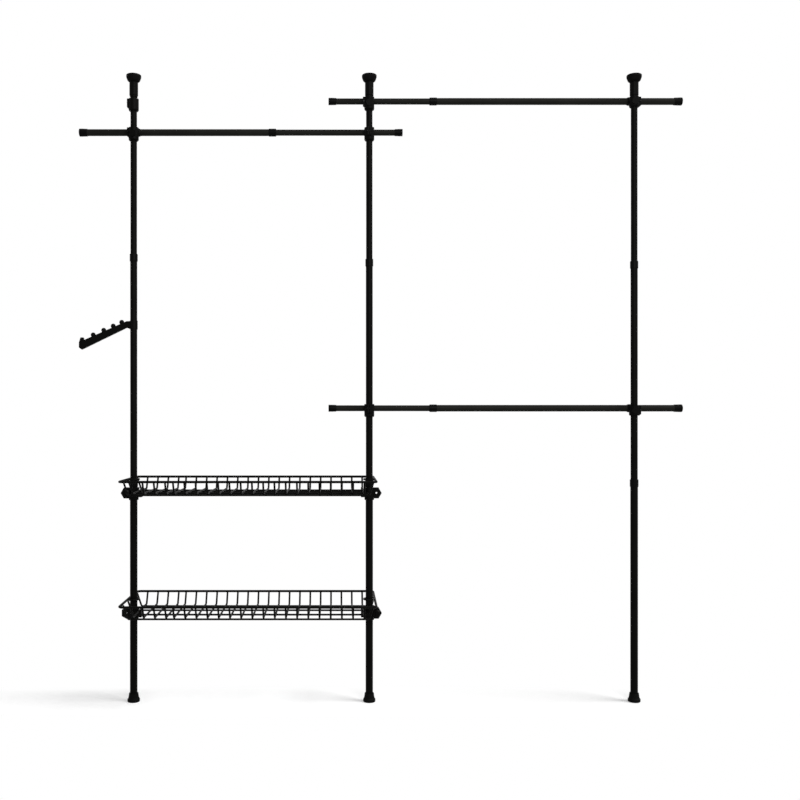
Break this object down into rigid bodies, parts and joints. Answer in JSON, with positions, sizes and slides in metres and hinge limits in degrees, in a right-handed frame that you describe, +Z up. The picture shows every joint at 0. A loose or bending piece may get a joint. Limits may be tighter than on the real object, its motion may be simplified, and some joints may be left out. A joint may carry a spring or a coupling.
{
  "type": "open frame wardrobe",
  "caption": "Floor-to-ceiling clothes rack: telescopic tension poles joined by telescopic rails, with wire baskets and a sloping hook arm.",
  "frame": {"origin": "centre of the middle foot's underside, on the floor", "axes": "+X to the right along the rails, +Y to the back, +Z up along the poles; the front faces -Y"},
  "size_m": [2.32, 0.3272, 2.3925],
  "materials": {
    "black_steel": "semi-matte black",
    "black_plastic": "satin black",
    "black_rubber": "matt black",
    "screw_steel": "black oxide"
  },
  "bodies": {
    "base": {"left_foot": "black_rubber", "left_lower_tube": "black_steel", "left_lower_collar": "black_plastic", "middle_foot": "black_rubber", "middle_lower_tube": "black_steel", "middle_lower_collar": "black_plastic", "right_foot": "black_rubber", "right_lower_tube": "black_steel", "right_lower_collar": "black_plastic"},
    "middle_stage": {"left_middle_tube": "black_steel", "left_upper_collar": "black_plastic", "middle_middle_tube": "black_steel", "middle_upper_collar": "black_plastic", "right_middle_tube": "black_steel", "right_upper_collar": "black_plastic", "low_rail_outer_tube": "black_steel", "low_rail_joint_collar": "black_plastic", "low_rail_outer_cap": "black_plastic", "low_rail_middle_clamp": "black_plastic", "low_rail_right_clamp": "black_plastic", "low_clamp_screws": "screw_steel"},
    "top_stage": {"left_top_tube": "black_steel", "middle_top_tube": "black_steel", "right_top_tube": "black_steel", "left_rail_outer_tube": "black_steel", "left_rail_joint_collar": "black_plastic", "left_rail_outer_cap": "black_plastic", "top_rail_outer_tube": "black_steel", "top_rail_joint_collar": "black_plastic", "top_rail_outer_cap": "black_plastic", "left_rail_left_clamp": "black_plastic", "left_rail_middle_clamp": "black_plastic", "top_rail_middle_clamp": "black_plastic", "top_rail_right_clamp": "black_plastic", "left_lock_clamp": "black_plastic", "top_clamp_screws": "screw_steel"},
    "left_jack": {"left_jack_sleeve": "black_plastic"},
    "left_pad": {"left_ceiling_pad": "black_rubber"},
    "middle_jack": {"middle_jack_sleeve": "black_plastic"},
    "middle_pad": {"middle_ceiling_pad": "black_rubber"},
    "right_jack": {"right_jack_sleeve": "black_plastic"},
    "right_pad": {"right_ceiling_pad": "black_rubber"},
    "left_rail_inner": {"left_rail_inner_tube": "black_steel", "left_rail_inner_cap": "black_plastic"},
    "top_rail_inner": {"top_rail_inner_tube": "black_steel", "top_rail_inner_cap": "black_plastic"},
    "low_rail_inner": {"low_rail_inner_tube": "black_steel", "low_rail_inner_cap": "black_plastic"},
    "upper_basket": {"upper_basket": "black_steel", "upper_left_bracket": "black_plastic", "upper_right_bracket": "black_plastic"},
    "upper_knob": {"upper_knob": "black_plastic"},
    "lower_basket": {"lower_basket": "black_steel", "lower_left_bracket": "black_plastic", "lower_right_bracket": "black_plastic"},
    "lower_knob": {"lower_knob": "black_plastic"},
    "hook": {"hook_arm": "black_steel", "hook_pegs": "black_plastic"}
  },
  "joints": [
    {"name": "middle_stage_slide", "type": "slide", "parent": "base", "child": "middle_stage", "axis": [0, 0, 1], "range_m": [-0.2, 0.15]},
    {"name": "top_stage_slide", "type": "slide", "parent": "middle_stage", "child": "top_stage", "axis": [0, 0, 1], "range_m": [-0.2, 0.15]},
    {"name": "left_jack_turn", "type": "hinge", "parent": "top_stage", "child": "left_jack", "pos_m": [-0.9, 0, 2.34], "axis": [0, 0, 1], "range_deg": [0, 1080]},
    {"name": "left_pad_slide", "type": "slide", "parent": "top_stage", "child": "left_pad", "axis": [0, 0, 1], "range_m": [0, 0.024]},
    {"name": "middle_jack_turn", "type": "hinge", "parent": "top_stage", "child": "middle_jack", "pos_m": [0, 0, 2.34], "axis": [0, 0, 1], "range_deg": [0, 1080]},
    {"name": "middle_pad_slide", "type": "slide", "parent": "top_stage", "child": "middle_pad", "axis": [0, 0, 1], "range_m": [0, 0.024]},
    {"name": "right_jack_turn", "type": "hinge", "parent": "top_stage", "child": "right_jack", "pos_m": [1.012, 0, 2.34], "axis": [0, 0, 1], "range_deg": [0, 1080]},
    {"name": "right_pad_slide", "type": "slide", "parent": "top_stage", "child": "right_pad", "axis": [0, 0, 1], "range_m": [0, 0.024]},
    {"name": "left_rail_slide", "type": "slide", "parent": "top_stage", "child": "left_rail_inner", "axis": [1, 0, 0], "range_m": [-0.06, 0.12]},
    {"name": "top_rail_slide", "type": "slide", "parent": "top_stage", "child": "top_rail_inner", "axis": [-1, 0, 0], "range_m": [-0.09, 0.12]},
    {"name": "low_rail_slide", "type": "slide", "parent": "middle_stage", "child": "low_rail_inner", "axis": [-1, 0, 0], "range_m": [-0.09, 0.12]},
    {"name": "upper_basket_slide", "type": "slide", "parent": "base", "child": "upper_basket", "axis": [0, 0, 1], "range_m": [-0.25, 0]},
    {"name": "lower_basket_slide", "type": "slide", "parent": "base", "child": "lower_basket", "axis": [0, 0, 1], "range_m": [-0.2, 0.06]},
    {"name": "upper_knob_turn", "type": "hinge", "parent": "upper_basket", "child": "upper_knob", "pos_m": [-0.927, 0, 0.797], "axis": [0, -1, 0], "continuous": true},
    {"name": "lower_knob_turn", "type": "hinge", "parent": "lower_basket", "child": "lower_knob", "pos_m": [0.027, 0, 0.3395], "axis": [0, -1, 0], "continuous": true},
    {"name": "hook_turn", "type": "hinge", "parent": "middle_stage", "child": "hook", "pos_m": [-0.9, 0, 1.438], "axis": [0, 0, 1], "range_deg": [-170, 170]}
  ],
  "couplings": [
    {"joint": "left_jack_turn", "follows": "left_pad_slide", "rad_per_m": 785.4},
    {"joint": "middle_jack_turn", "follows": "middle_pad_slide", "rad_per_m": 785.4},
    {"joint": "right_jack_turn", "follows": "right_pad_slide", "rad_per_m": 785.4}
  ]
}
